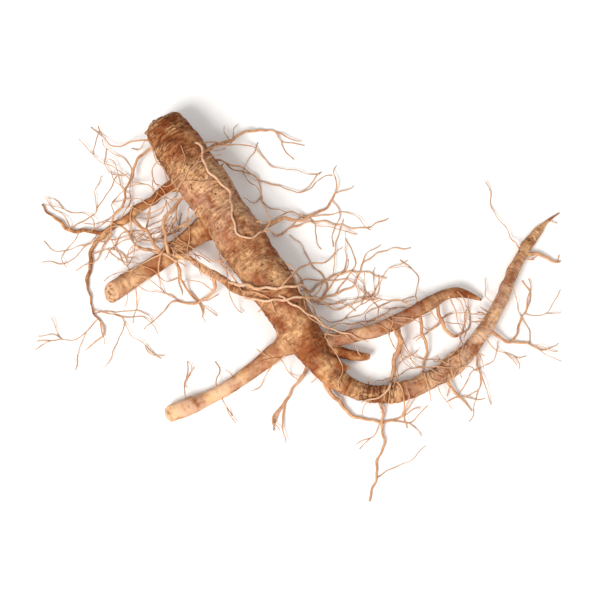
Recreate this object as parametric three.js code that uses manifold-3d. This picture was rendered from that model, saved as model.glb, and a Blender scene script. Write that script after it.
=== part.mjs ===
// A dried ginseng root lying on a table. A stout body, blunt where its head was snapped off, runs
// out into a long curved tail. Side roots and thin rootlets grow from both, all of it one solid.
// Millimetres, +Z up, the table at z = 0, the origin under the middle of the root's outline.

import * as THREE from 'three';
import { mergeVertices } from 'three/addons/utils/BufferGeometryUtils.js';
import Module from 'manifold-3d';

// Driving dimensions: each radius below is the thickest place of that kind of root.
const bodyRadius = 7;
const sideRootRadius = 2.5;
const branchRadius = 1.3;
const rootletRadius = 0.5;
const restShare = 0.03; // how much of its radius a root that lies on the table is pressed flat
const outlineMiddle = [2.33, -0.71]; // where the middle of the outline falls among the points below

const wasm = await Module();
wasm.setup();

// Every route is a list of [x, y, lift, girth]: lift is the clearance under the root, and girth is
// its share of the radius that the route is grown with.

const bodyAndTail = [
  [-36.4, 50.4, 0.5, 0.82], [-34.2, 47.0, 0.2, 0.92], [-31.6, 43.0, 0, 0.98],
  [-28.9, 38.8, 0, 1.0], [-26.4, 35.0, 0, 1.02], [-24.0, 31.4, 0, 1.05],
  [-21.4, 27.7, 0, 1.0], [-19.0, 24.1, 0, 0.94], [-16.8, 20.7, 0, 0.97],
  [-14.8, 17.4, 0, 1.0], [-12.7, 13.9, 0, 1.0], [-10.8, 10.8, 0, 0.97],
  [-8.9, 7.9, 0, 0.93], [-7.0, 5.0, 0, 0.95], [-4.8, 1.4, 0, 0.94],
  [-2.8, -1.9, 0, 0.9], [-0.9, -5.0, 0, 0.86], [1.0, -8.0, 0.1, 0.82],
  [2.8, -11.0, 0.2, 0.78], [4.6, -13.9, 0.3, 0.7], [6.2, -16.5, 0.4, 0.65],
  [8.2, -19.0, 0.5, 0.57], [10.2, -21.2, 0.5, 0.5], [12.6, -23.3, 0.4, 0.45],
  [17.6, -25.8, 0.1, 0.42], [23.9, -26.7, 0, 0.39], [30.2, -25.8, 0, 0.4],
  [36.4, -23.2, 0, 0.38], [42.3, -19.6, 0.3, 0.39], [47.4, -15.0, 0.8, 0.36],
  [52.0, -9.2, 1.2, 0.36], [55.8, -3.0, 1.3, 0.33], [58.8, 3.4, 1.0, 0.33],
  [61.6, 9.4, 0.6, 0.29], [64.6, 15.0, 0.3, 0.25], [68.0, 19.8, 0, 0.18],
  [71.4, 23.4, 0.1, 0.11], [74.6, 25.8, 0.2, 0.05],
];

const lowerProng = [
  [1.5, -11.5, 2.2, 1.2], [-3.1, -14.6, 1.6, 1.04], [-7.5, -18.0, 1.0, 0.97],
  [-12.3, -21.6, 0.5, 0.9], [-17.0, -24.8, 0.2, 0.78], [-22.6, -27.8, 0, 0.82],
  [-27.6, -30.2, 0, 0.98], [-32.0, -31.9, 0, 1.0],
];

const upperProng = [
  [-19.5, 22.5, 1.8, 1.5], [-25.5, 18.8, 1.1, 1.34], [-31.0, 14.8, 0.7, 1.1],
  [-37.0, 10.4, 0.3, 0.98], [-43.0, 6.2, 0.1, 1.05], [-49.0, 1.9, 0, 1.14],
];

const rightProng = [
  [6.5, -12.5, 1.8, 0.96], [11.0, -12.3, 2.6, 0.84], [17.2, -11.0, 3.1, 0.8],
  [22.5, -9.8, 3.3, 0.84], [27.2, -7.8, 3.2, 0.88], [32.2, -5.0, 3.1, 0.78],
  [37.8, -1.6, 2.6, 0.76], [42.0, 0.9, 2.1, 0.66], [45.6, 1.8, 1.4, 0.6],
  [49.0, 1.2, 0.9, 0.42], [51.6, 0.4, 0.7, 0.22],
];

const brokenStub = [[8.0, -18.0, 3.2, 0.72], [12.2, -19.2, 3.5, 0.56], [14.8, -20.0, 4.0, 0.32]];

const stump = [
  [8.0, -15.0, 2.0, 0.84], [13.4, -15.4, 1.7, 0.66], [17.4, -16.1, 1.3, 0.64], [20.2, -16.3, 1.3, 0.5],
];

const leftBranch = [
  [-30.0, 33.5, 4.0, 1.4], [-35.5, 31.0, 3.0, 1.14], [-40.5, 27.6, 2.0, 1.02],
  [-45.2, 24.3, 1.3, 0.96], [-50.0, 21.0, 0.7, 0.74], [-53.9, 17.8, 0.4, 0.6],
  [-55.5, 13.4, 0.2, 0.46], [-56.0, 8.0, 0.2, 0.36], [-55.8, 2.5, 0.3, 0.3],
  [-54.4, -2.0, 0.2, 0.26], [-52.4, -5.8, 0.2, 0.22],
];

const leftFork = [
  [-51.5, 19.8, 0.7, 0.52], [-57.0, 20.2, 0.5, 0.46], [-62.2, 21.2, 0.3, 0.38],
  [-66.0, 24.2, 0.3, 0.3], [-70.0, 28.4, 0.2, 0.24],
];

const middleBranch = [
  [-7.5, 1.8, 5.6, 0.95], [-12.0, 0.6, 5.8, 0.92], [-16.3, 2.3, 5.7, 0.88], [-20.9, 5.7, 5.3, 0.84],
  [-25.5, 8.8, 5.1, 0.7], [-30.2, 11.0, 5.3, 0.56], [-34.8, 12.1, 5.5, 0.46], [-38.6, 13.2, 4.0, 0.4],
  [-42.2, 15.6, 1.6, 0.34], [-45.0, 18.6, 0.3, 0.28],
];

const rootlets = [
  // from the underside of the body's lower end and from the tail
  [[8.0, -21.5, 2.2, 1.3], [10.9, -26.4, 1.2, 1.15], [14.3, -30.4, 0.5, 0.95],
    [18.7, -33.0, 0.2, 0.8], [22.4, -33.7, 0.2, 0.75], [26.4, -33.4, 0.3, 0.6]],
  [[5.0, -18.0, 2.5, 0.9], [3.0, -21.0, 1.6, 0.8], [0.2, -25.6, 0.6, 0.7], [-2.2, -28.6, 0.2, 0.9]],
  [[23.6, -26.8, 0.8, 0.9], [24.3, -33.6, 0.9, 0.75], [24.4, -39.4, 0.4, 0.65],
    [22.9, -45.0, 0.2, 0.58], [21.9, -50.0, 0.2, 0.52], [20.8, -55.0, 0.2, 0.5]],
  [[41.0, -20.0, 1.6, 1.2], [42.4, -23.2, 1.4, 0.95], [44.7, -27.2, 0.5, 0.6]],
  [[49.6, -13.2, 1.6, 0.8], [50.4, -16.4, 1.2, 0.65], [50.6, -20.4, 0.4, 0.5]],
  [[53.6, -8.6, 2.0, 1.0], [56.6, -10.8, 1.2, 0.9], [60.6, -11.7, 0.5, 0.75], [65.4, -12.6, 0.2, 0.5]],
  [[59.6, -11.8, 0.6, 0.65], [61.6, -8.4, 0.6, 0.55], [64.0, -2.0, 0.3, 0.5]],
  [[63.6, 13.4, 1.0, 1.5], [67.6, 13.6, 0.7, 1.1], [71.2, 12.0, 0.4, 0.85], [74.2, 11.8, 0.2, 0.6]],
  // from the right prong
  [[28.4, -8.0, 3.6, 1.9], [29.1, -13.4, 2.4, 1.5], [27.6, -18.4, 1.2, 1.1], [26.6, -22.4, 0.5, 0.8]],
  [[34.6, -4.6, 3.4, 1.1], [35.9, -10.9, 2.2, 0.9], [36.4, -15.6, 1.0, 0.75], [35.6, -19.6, 0.4, 0.55]],
  [[39.6, -1.4, 3.0, 1.1], [41.0, -7.4, 1.6, 1.0], [43.6, -9.6, 0.9, 0.8], [46.4, -9.4, 0.5, 0.55]],
  // from the head end, the body's left side and the left branch
  [[-37.0, 44.6, 5.0, 0.9], [-41.8, 43.0, 3.4, 0.8], [-44.6, 38.0, 1.8, 0.7],
    [-45.8, 32.6, 3.4, 0.6], [-47.0, 28.0, 3.0, 0.6], [-49.6, 22.8, 2.6, 0.55], [-51.2, 17.6, 0.4, 0.5]],
  [[-30.0, 28.6, 5.4, 1.1], [-34.4, 22.0, 7.4, 0.95], [-34.4, 15.0, 8.0, 0.85],
    [-31.2, 8.6, 3.6, 0.75], [-28.6, 3.0, 0.6, 0.6]],
  [[-45.0, 24.6, 1.8, 1.2], [-41.4, 20.4, 3.4, 1.0], [-38.6, 16.8, 5.0, 0.9], [-36.0, 12.6, 5.6, 0.8]],
  [[-21.0, 5.6, 5.6, 1.2], [-21.2, 2.4, 4.2, 0.9], [-23.0, 0.2, 2.2, 0.75], [-26.2, -0.6, 0.8, 0.6],
    [-29.6, -0.2, 0.3, 0.5]],
  // from the body's right side
  [[-25.4, 42.4, 5.4, 1.3], [-19.6, 45.2, 4.4, 1.05], [-14.2, 49.2, 2.2, 0.85],
    [-9.4, 51.4, 0.6, 0.7], [-4.6, 50.6, 0.2, 0.5]],
  [[-9.0, 19.6, 4.6, 1.4], [-3.0, 22.6, 3.4, 1.15], [2.8, 23.6, 1.6, 0.9],
    [8.4, 26.6, 0.5, 0.7], [12.4, 31.6, 0.2, 0.5]],
];

// A smooth path through a route's points, and the root's radius along it. Both are Catmull-Rom
// curves with the same parameter, so they stay in step.
function pathOf(route, radius) {
  const centres = route.map(([x, y, lift, girth]) => new THREE.Vector3(
    x - outlineMiddle[0], y - outlineMiddle[1], lift + radius * girth * (1 - restShare),
  ));
  const girths = route.map(([, , , girth]) => new THREE.Vector3(radius * girth, 0, 0));
  return {
    centre: new THREE.CatmullRomCurve3(centres, false, 'catmullrom', 0.5),
    girth: new THREE.CatmullRomCurve3(girths, false, 'catmullrom', 0.5),
  };
}

// The rings that the root's skin is stretched over: the rings of the domed start, those along the
// path and those of the domed end. A dome's bulge is its height as a share of its radius.
function ringsOf(path, steps, startBulge, endBulge) {
  const domeRings = 3;
  const rings = [];
  const dome = (at, bulge, turn) => {
    const radius = path.girth.getPoint(at).x;
    const tangent = path.centre.getTangent(at);
    const beyond = (at === 0 ? -1 : 1) * bulge * radius * Math.cos(turn);
    const centre = path.centre.getPoint(at).addScaledVector(tangent, beyond);
    rings.push({ centre, tangent, radius: radius * Math.sin(turn) });
  };
  for (let k = 0; k < domeRings; k++) dome(0, startBulge, (k / domeRings) * Math.PI / 2);
  for (let k = 0; k <= steps; k++) {
    const at = k / steps;
    const radius = path.girth.getPoint(at).x;
    rings.push({ centre: path.centre.getPoint(at), tangent: path.centre.getTangent(at), radius });
  }
  for (let k = domeRings - 1; k >= 0; k--) dome(1, endBulge, (k / domeRings) * Math.PI / 2);
  return rings;
}

// A lathed stack of rings, one unit apart, with each ring then carried to its place on the path
// and turned square to it. The table's up direction sets how a ring is turned, so nothing twists.
function rootGeometry(route, { radius, sides, stepsPerPoint = 2, startBulge = 0.5, endBulge = 0.5 }) {
  const path = pathOf(route, radius);
  const rings = ringsOf(path, (route.length - 1) * stepsPerPoint, startBulge, endBulge);
  const profile = rings.map((ring, level) => new THREE.Vector2(ring.radius, level));
  const geometry = new THREE.LatheGeometry(profile, sides);
  const position = geometry.attributes.position;
  const up = new THREE.Vector3(0, 0, 1);
  const frames = rings.map(({ tangent }) => {
    const across = new THREE.Vector3().crossVectors(up, tangent).normalize();
    return { across, over: new THREE.Vector3().crossVectors(tangent, across) };
  });
  for (let i = 0; i < position.count; i++) {
    const level = Math.round(position.getY(i));
    const place = rings[level].centre.clone()
      .addScaledVector(frames[level].across, -position.getX(i))
      .addScaledVector(frames[level].over, position.getZ(i));
    position.setXYZ(i, place.x, place.y, place.z);
  }
  return geometry;
}

// A closed solid of a geometry. Its shared vertices are merged, and the triangles that a lathe
// leaves without area at its poles are dropped.
function toSolid(geometry) {
  geometry.deleteAttribute('normal');
  geometry.deleteAttribute('uv');
  const merged = mergeVertices(geometry, 1e-4);
  const corners = merged.index.array;
  const kept = [];
  for (let i = 0; i < corners.length; i += 3) {
    const [a, b, c] = corners.slice(i, i + 3);
    if (a !== b && b !== c && c !== a) kept.push(a, b, c);
  }
  return new wasm.Manifold(new wasm.Mesh({
    numProp: 3,
    vertProperties: new Float32Array(merged.attributes.position.array),
    triVerts: new Uint32Array(kept),
  }));
}

function toGeometry(solid) {
  const { vertProperties, triVerts } = solid.getMesh();
  const geometry = new THREE.BufferGeometry();
  geometry.setAttribute('position', new THREE.BufferAttribute(vertProperties, 3));
  geometry.setIndex(new THREE.BufferAttribute(triVerts, 1));
  geometry.computeVertexNormals();
  return geometry;
}

// The table's own space, which is cut away so that the root rests on real flats at z = 0.
function tableSpace() {
  const depth = 20;
  const slab = new THREE.BoxGeometry(400, 400, depth);
  slab.translate(0, 0, -depth / 2);
  return slab;
}

function thickRoots() {
  const side = { radius: sideRootRadius, sides: 14 };
  return [
    rootGeometry(bodyAndTail, { radius: bodyRadius, sides: 24, startBulge: 0.3, endBulge: 1 }),
    rootGeometry(lowerProng, { ...side, endBulge: 0.35 }),
    rootGeometry(upperProng, { ...side, endBulge: 0.15 }),
    rootGeometry(rightProng, { ...side, endBulge: 1 }),
    rootGeometry(brokenStub, { ...side, sides: 10, endBulge: 0.6 }),
    rootGeometry(stump, { ...side, sides: 10, endBulge: 0.6 }),
  ];
}

function thinRoots() {
  const branch = { radius: branchRadius, sides: 8, endBulge: 1 };
  const rootlet = { radius: rootletRadius, sides: 6, endBulge: 1 };
  return [
    rootGeometry(leftBranch, branch),
    rootGeometry(leftFork, { ...branch, sides: 6 }),
    rootGeometry(middleBranch, branch),
    ...rootlets.map((route) => rootGeometry(route, rootlet)),
  ];
}

const wholeRoot = [...thickRoots(), ...thinRoots()]
  .map(toSolid)
  .reduce((grown, next) => grown.add(next))
  .subtract(toSolid(tableSpace()));

const driedSkin = new THREE.MeshStandardMaterial({ color: 0xc08a5c, roughness: 0.85, metalness: 0 });

const root = new THREE.Mesh(toGeometry(wholeRoot), driedSkin);
root.name = 'ginseng_root';

const group = new THREE.Group();
group.add(root);

export default group;
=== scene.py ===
import math

import bmesh
import bpy
import numpy as np
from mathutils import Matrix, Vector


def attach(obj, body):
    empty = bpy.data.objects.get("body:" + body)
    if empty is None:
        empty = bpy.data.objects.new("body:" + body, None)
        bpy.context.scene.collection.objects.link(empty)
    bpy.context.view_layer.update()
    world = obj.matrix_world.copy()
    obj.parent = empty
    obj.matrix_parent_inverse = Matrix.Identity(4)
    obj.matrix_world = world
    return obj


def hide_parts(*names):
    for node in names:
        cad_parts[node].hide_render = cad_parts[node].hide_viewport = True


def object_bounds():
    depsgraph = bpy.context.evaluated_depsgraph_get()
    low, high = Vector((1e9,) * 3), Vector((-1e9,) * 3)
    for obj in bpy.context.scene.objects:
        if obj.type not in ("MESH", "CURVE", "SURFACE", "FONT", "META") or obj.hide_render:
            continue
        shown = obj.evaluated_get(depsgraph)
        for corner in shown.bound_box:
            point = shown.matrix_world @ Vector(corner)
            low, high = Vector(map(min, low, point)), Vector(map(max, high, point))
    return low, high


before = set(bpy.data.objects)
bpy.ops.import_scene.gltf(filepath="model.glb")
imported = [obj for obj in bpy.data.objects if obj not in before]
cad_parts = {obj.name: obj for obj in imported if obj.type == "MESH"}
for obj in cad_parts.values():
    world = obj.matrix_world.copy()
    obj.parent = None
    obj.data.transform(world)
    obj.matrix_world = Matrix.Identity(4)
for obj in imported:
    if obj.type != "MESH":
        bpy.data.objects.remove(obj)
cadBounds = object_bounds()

# A dried ginseng root on a pale table. Every root and hair is a stack of rings carried along a path,
# worked out in millimetres, and all of them are joined into one skin that takes the CAD solid's place.
nodeName = "ginseng_root"
millimetre = 0.001
boxLow, boxHigh = (np.array(corner) / millimetre for corner in cadBounds)
hairStep = 0.5  # the step of a hair's walk, in millimetres
mapCell = 0.6  # the cell of the map of heights that hairs are draped over, in millimetres
outlineMiddle = np.array([2.33, -0.71, 0.0])  # the middle of the outline among the points below
seamGap = 0.0003  # how close together two points of a seam are merged, in millimetres
randomSeed = 11  # another number gives other knobs, pits, swings and hairs
restShare = 0.03  # how much of its radius a root that lies on the table is pressed flat


def smoothPath(points, paces):
    # A Catmull-Rom curve: each span is the cubic that meets both its points, with a slope at each of
    # half the step from the point before it to the point after it. It is read off at steps whose
    # length is set by paces, a list of [distance along the curve, step].
    samples = 40  # places worked out on each span before the curve is read off
    fewest = 6  # steps along the shortest path
    points = np.asarray(points, float)
    ends = np.vstack([2 * points[0] - points[1], points, 2 * points[-1] - points[-2]])
    t = np.linspace(0, 1, samples, endpoint=False)[None, :, None]
    a, b, c, d = (ends[k:len(ends) - 3 + k, None, :] for k in range(4))
    spans = b + 0.5 * t * (c - a + t * (2 * a - 5 * b + 4 * c - d + t * (3 * (b - c) + d - a)))
    dense = np.vstack([spans.reshape(-1, points.shape[1]), points[-1:]])
    strides = np.linalg.norm(np.diff(dense[:, :3], axis=0), axis=1)
    walked = np.concatenate([[0], np.cumsum(strides)])
    pace = np.interp(walked[1:], *np.asarray(paces, float).T)
    steps = np.concatenate([[0], np.cumsum(strides / pace)])
    arc = np.interp(np.linspace(0, steps[-1], max(fewest, round(steps[-1])) + 1), steps, walked)
    return np.column_stack([np.interp(arc, walked, column) for column in dense.T]), arc


def walkRoute(settings):
    # Route points are [x, y, lift, girth]: lift is the clearance under the root, and girth its share
    # of the radius. The centre's height is then lift + radius * (1 - restShare).
    route = np.asarray(settings["route"], float)
    radius = settings["radius"] * route[:, 3]
    centres = np.column_stack([route[:, 0], route[:, 1], route[:, 2] + radius * (1 - restShare)])
    centres -= outlineMiddle
    path, arc = smoothPath(np.column_stack([centres, radius]), settings["paces"])
    return {"centre": path[:, :3], "radius": path[:, 3], "arc": arc}


def swayPath(path, sways, chance):
    # Sideways swings: the sum of height * sin(2 pi (arc / wavelength + phase)), with a random phase
    # for each, faded in over the first few millimetres.
    fadeIn = 4
    tangent = np.gradient(path["centre"], axis=0)
    side = np.stack([-tangent[:, 1], tangent[:, 0]], -1)
    side /= np.linalg.norm(side, axis=1)[:, None]
    swing = sum(height * np.sin(2 * math.pi * (path["arc"] / wavelength + chance.random()))
                for wavelength, height in sways)
    path["centre"][:, :2] += (swing * np.clip(path["arc"] / fadeIn, 0, 1))[:, None] * side
    return path


def latticeNoise(places, seed):
    # Random values from -1 to 1 at whole-number corners, blended inside each cell by the smooth
    # step 3t^2 - 2t^3 along each axis. A corner's value is its whole numbers and the seed, each
    # times a large odd number, mixed bit by bit.
    cell = np.floor(places).astype(np.int64)
    part = places - cell
    ease = part * part * (3 - 2 * part)
    total = np.zeros(places.shape[:-1])
    for corner in np.ndindex(2, 2, 2):
        at = cell + np.array(corner)
        mixed = at[..., 0] * 73856093 ^ at[..., 1] * 19349663 ^ at[..., 2] * 83492791 ^ seed * 2654435
        mixed = ((mixed ^ (mixed >> 13)) * 1274126177) & 0x7FFFFFFF
        value = ((mixed ^ (mixed >> 15)) & 0xFFFF) / 32767.5 - 1
        total += value * np.prod(np.where(corner, ease, 1 - ease), axis=-1)
    return total


def smoothStep(value, low, high):
    # 0 up to low, 1 from high on, and 3t^2 - 2t^3 between them.
    t = np.clip((value - low) / (high - low), 0, 1)
    return t * t * (3 - 2 * t)


def groove(field, width):
    # A groove runs where the field passes through zero: 1 in its middle, 0 at its width and past it.
    return smoothStep(1 - np.abs(field) / width, 0, 1)


def capRings(path, atEnd, bulge, flatness, count):
    # Rings from the rim to the tip of a rounded end: radius r sin(a), and height
    # bulge r (1 - sin(a)^flatness)^(1/flatness), so a flatness of 2 is a dome and 5 a cut face.
    k = -1 if atEnd else 0
    tangent = path["centre"][k] - path["centre"][-2 if atEnd else 1]
    tangent = tangent / np.linalg.norm(tangent)
    across = np.sin(np.linspace(math.pi / 2, 0, count + 1)[1:])
    height = bulge * path["radius"][k] * (1 - across ** flatness) ** (1 / flatness)
    centre = path["centre"][k] + height[:, None] * tangent
    arc = path["arc"][k] + (height + path["radius"][k] * (1 - across)) * (1 if atEnd else -1)
    return centre, path["radius"][k] * across, arc, 1 - across


def sweepRoot(settings, path=None):
    # Ring i, point j: centre(i) + radius(i) (cos a across + sin a over), where across is level and
    # square to the path, over is square to both, and a turns with j. Both ends close on one point. An
    # end's slant shears its last stretch, so that its upper side is shorter and its face looks up.
    path = path or walkRoute(settings)
    caps = settings["capRings"]
    first = capRings(path, False, settings["startBulge"], settings["startFlatness"], caps)
    last = capRings(path, True, settings["endBulge"], settings["endFlatness"], caps)
    centre = np.vstack([first[0][::-1], path["centre"], last[0]])
    radius = np.concatenate([first[1][::-1], path["radius"], last[1]])
    arc = np.concatenate([first[2][::-1], path["arc"], last[2]])
    tangent = np.gradient(path["centre"], axis=0)
    tangent /= np.linalg.norm(tangent, axis=1)[:, None]
    tangent = np.vstack([np.repeat(tangent[:1], caps, 0), tangent, np.repeat(tangent[-1:], caps, 0)])
    across = np.cross([0, 0, 1], tangent)
    across /= np.linalg.norm(across, axis=1)[:, None]
    over = np.cross(tangent, across)
    turn = np.linspace(0, 2 * math.pi, settings["around"], endpoint=False) - math.pi / 2
    spoke = np.cos(turn)[None, :, None] * across[:, None] + np.sin(turn)[None, :, None] * over[:, None]
    inset = np.zeros(len(arc))  # how far a ring of a rounded end is from the rim: -1 and 1 at the tips
    inset[:caps] = -first[3][::-1]
    inset[len(arc) - caps:] = last[3]
    leastRadius = 1e-4  # keeps the ring at a tip from shrinking to nothing
    places = centre[:, None] + np.maximum(radius, leastRadius)[:, None, None] * spoke
    reach = 1.5 * path["radius"][[0, -1]]  # how far from each rim its slant begins
    lean = settings["startSlant"] * smoothStep(path["arc"][0] + reach[0] - arc, 0, reach[0])
    lean -= settings["endSlant"] * smoothStep(arc - path["arc"][-1] + reach[1], 0, reach[1])
    places += (lean * radius)[:, None, None] * np.sin(turn)[None, :, None] * tangent[:, None]
    return {"settings": settings, "path": path, "places": places, "radius": radius, "arc": arc,
            "turn": turn, "inset": inset, "spoke": spoke, "tangent": tangent}


def outwardNormals(root):
    # The cross product of the step round the ring and the step along the root, or the spoke where
    # that has no length, turned the way that the spokes point half way along.
    tiny = 1e-9
    places = root["places"]
    around = np.roll(places, -1, axis=1) - np.roll(places, 1, axis=1)
    along = np.gradient(places, axis=0)
    normal = np.cross(around, along)
    length = np.linalg.norm(normal, axis=2)[..., None]
    normal = np.where(length > tiny, normal / np.maximum(length, tiny), root["spoke"])
    facing = np.sign((normal * root["spoke"]).sum(2)[len(normal) // 2].mean())
    return normal * facing


def straightened(root):
    # Where each point would be if the root were pulled straight: (r cos a, r sin a, arc). Each seed
    # is set a long way along from the next, so that no two roots share a pattern.
    leastRadius = 0.05
    seedShift = 211.0
    radius = np.maximum(root["radius"], leastRadius)[:, None]
    turn = root["turn"][None, :]
    along = np.broadcast_to(root["arc"][:, None], (len(root["arc"]), turn.shape[1]))
    flat = np.stack([radius * np.cos(turn), radius * np.sin(turn), along], axis=-1)
    return flat + np.array([0, 0, root["settings"]["seed"] * seedShift])


def alongRoot(root, knots):
    # Reads a value off given knots of [arc, value].
    return np.interp(root["arc"], *np.asarray(knots, float).T)[:, None]


def scatterMarks(root, marks, chance):
    # Each mark is exp(-(along / length)^2 - (round / width)^2) about a random place on the skin, with
    # a length of squat * width. The sum with each mark's own height is the relief, and the sum of all
    # is where the marks are.
    relief = np.zeros(root["places"].shape[:2])
    spots = np.zeros(root["places"].shape[:2])
    for _ in range(marks["count"]):
        arc = chance.uniform(*marks["arcs"])
        turn = chance.uniform(-math.pi, math.pi)
        size = chance.uniform(*marks["sizes"])
        along = (root["arc"] - arc)[:, None] / (size * marks["squat"])
        swing = np.mod(root["turn"] - turn + math.pi, 2 * math.pi) - math.pi
        spot = np.exp(-along ** 2 - (swing[None, :] * root["radius"][:, None] / size) ** 2)
        relief += chance.uniform(*marks["heights"]) * spot
        spots += spot
    return relief, np.clip(spots, 0, 1)


# The relief that all roots have. A ring's stretch along the root is in ring pitches and the other
# sizes are in millimetres. Widths, fades and shares have no unit.
skinRelief = {
    "wander": {"size": 3.1, "reach": 0.4},  # how a ring wanders along the root as it goes round
    "rings": [
        {"stretch": [6.5, 6.5, 1], "width": 0.36, "share": 1},
        {"stretch": [3.6, 3.6, 0.6], "width": 0.32, "share": 0.7},
    ],
    "ringPatches": {"size": 6.0, "low": -0.4, "high": 0.3, "least": 0.55, "more": 0.45},
    "furrows": {"stretch": [1.5, 1.5, 13.0], "width": 0.3},
    "furrowPatches": {"size": 7.0, "low": -0.3, "high": 0.4},
    "most": 0.45,  # the limit on all the relief, as a share of the radius
    "faceLoss": 0.7, "faceLossFade": [0.05, 0.3],  # how much less of it a cut face has
    "tornFade": [0.0, 0.25], "fineTorn": {"size": 0.5, "share": 0.4},
    # how dark the rings and furrows are painted: partly their own dark and partly painted shade
    "ringDark": 0.9, "furrowDark": 0.35,
}


def patchesOf(flat, patch, seed):
    # Where a broad noise lets a pattern show: 0 up to its low value and 1 from its high value on.
    return smoothStep(latticeNoise(flat / patch["size"], seed), patch["low"], patch["high"])


def wrinkle(root, chance):
    # Moves the skin along its normal by lumps, knobs and pits, less cross rings and furrows along the
    # root. Rings are grooves of a noise that changes fast along the root and slowly round it, furrows
    # the other way about, and each noise has a seed of its own. The whole relief is held under its
    # limit by limit * tanh(relief / limit), so that a thin end isn't pinched off. A cut face is torn
    # along the root by two noises more. How deep a groove or pit is, squared, is kept for the paint.
    settings, plan = root["settings"], skinRelief
    flat = straightened(root)
    seed = settings["seed"]
    relief = sum(height * latticeNoise(flat / size, seed + k)
                 for k, (size, height) in enumerate(settings["lumps"]))
    relief = relief - settings["sink"]
    wander = plan["wander"]["reach"] * latticeNoise(flat / plan["wander"]["size"], seed + 5)
    wandered = flat + wander[..., None] * np.array([0, 0, 1.0])
    rings = []
    for k, ring in enumerate(plan["rings"]):
        stretch = np.array(ring["stretch"]) * [1, 1, settings["ringPitch"]]
        field = latticeNoise(wandered / stretch, seed + 6 + k)
        rings.append(ring["share"] * groove(field, ring["width"]))
    rings = np.max(rings, axis=0)
    furrows = latticeNoise(flat / np.array(plan["furrows"]["stretch"]), seed + 8)
    furrows = groove(furrows, plan["furrows"]["width"])
    furrows = furrows * patchesOf(flat, plan["furrowPatches"], seed + 9)
    patch = plan["ringPatches"]
    ringShare = patch["least"] + patch["more"] * patchesOf(flat, patch, seed + 10)
    ringShare = alongRoot(root, settings["rings"]) * ringShare
    root["ringed"] = ringShare ** 2
    relief = relief - settings["ringDepth"] * ringShare * rings - settings["furrowDepth"] * furrows
    pits = np.zeros_like(rings)
    for marks in settings["marks"]:
        height, spots = scatterMarks(root, marks, chance)
        relief = relief + height
        pits = np.maximum(pits, marks["dark"] * spots)
    leastRadius = 1e-3
    limit = plan["most"] * np.maximum(root["radius"], leastRadius)[:, None]
    relief = limit * np.tanh(relief / limit)
    depth = np.abs(root["inset"])
    calm = 1 - plan["faceLoss"] * smoothStep(depth, *plan["faceLossFade"])[:, None]
    moved = (relief * calm)[..., None] * outwardNormals(root)
    face = smoothStep(depth, *plan["tornFade"])[:, None]
    broad = settings["tornHeight"] * latticeNoise(root["places"] / settings["tornSize"], seed + 11)
    fine = plan["fineTorn"]["share"] * settings["tornHeight"]
    torn = broad + fine * latticeNoise(root["places"] / plan["fineTorn"]["size"], seed + 12)
    moved += (face * torn * np.sign(root["inset"])[:, None])[..., None] * root["tangent"][:, None]
    root["places"] = root["places"] + moved
    # The grooves' dark is partly the skin's own dark in them and partly painted shade in the creases; the
    # pits' dark is the pores' own.
    grooves = plan["ringDark"] * ringShare * rings + plan["furrowDark"] * furrows
    root["hollow"] = np.clip(np.maximum(grooves, pits), 0, 1) ** 2


def distanceTo(places, path):
    # The gap from each place to a root's plain skin: the least of the distance to a centre minus the
    # radius there. Centres about 1 mm apart are enough.
    spacing = 1.0
    every = max(1, round(spacing / (path["arc"][1] - path["arc"][0])))
    centre, radius = path["centre"][::every], path["radius"][::every]
    gap = np.linalg.norm(places[:, None] - centre[None], axis=2) - radius[None]
    return gap.min(axis=1)


def swellTowards(root, path, blend):
    # Two skins that meet swell towards each other by (blend - gap)^2 / (4 blend) where the gap
    # between them is less than the blend, which rounds the corner that they would make.
    places = root["places"].reshape(-1, 3)
    reach = path["radius"].max() + blend
    low, high = path["centre"].min(0) - reach, path["centre"].max(0) + reach
    near = np.flatnonzero(((places > low) & (places < high)).all(axis=1))
    if not len(near):
        return
    gap = np.clip(distanceTo(places[near], path), 0, blend)
    lift = np.zeros(len(places))
    lift[near] = (blend - gap) ** 2 / (4 * blend)
    lift = lift.reshape(root["places"].shape[:2] + (1,))
    root["places"] = root["places"] + lift * outwardNormals(root)


def outsideOf(path, other):
    # The stretch of a path that is outside another root, or inside it by less than a share of its own
    # radius.
    sunkShare = 0.6
    keep = distanceTo(path["centre"], other) > -sunkShare * path["radius"]
    return {key: value[keep] for key, value in path.items()}


def withTips(grid):
    # The grid's values as one list, and then the means of its first and its last ring for the tips.
    return np.concatenate([grid.reshape(-1, *grid.shape[2:]), grid[[0, -1]].mean(axis=1)])


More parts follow.
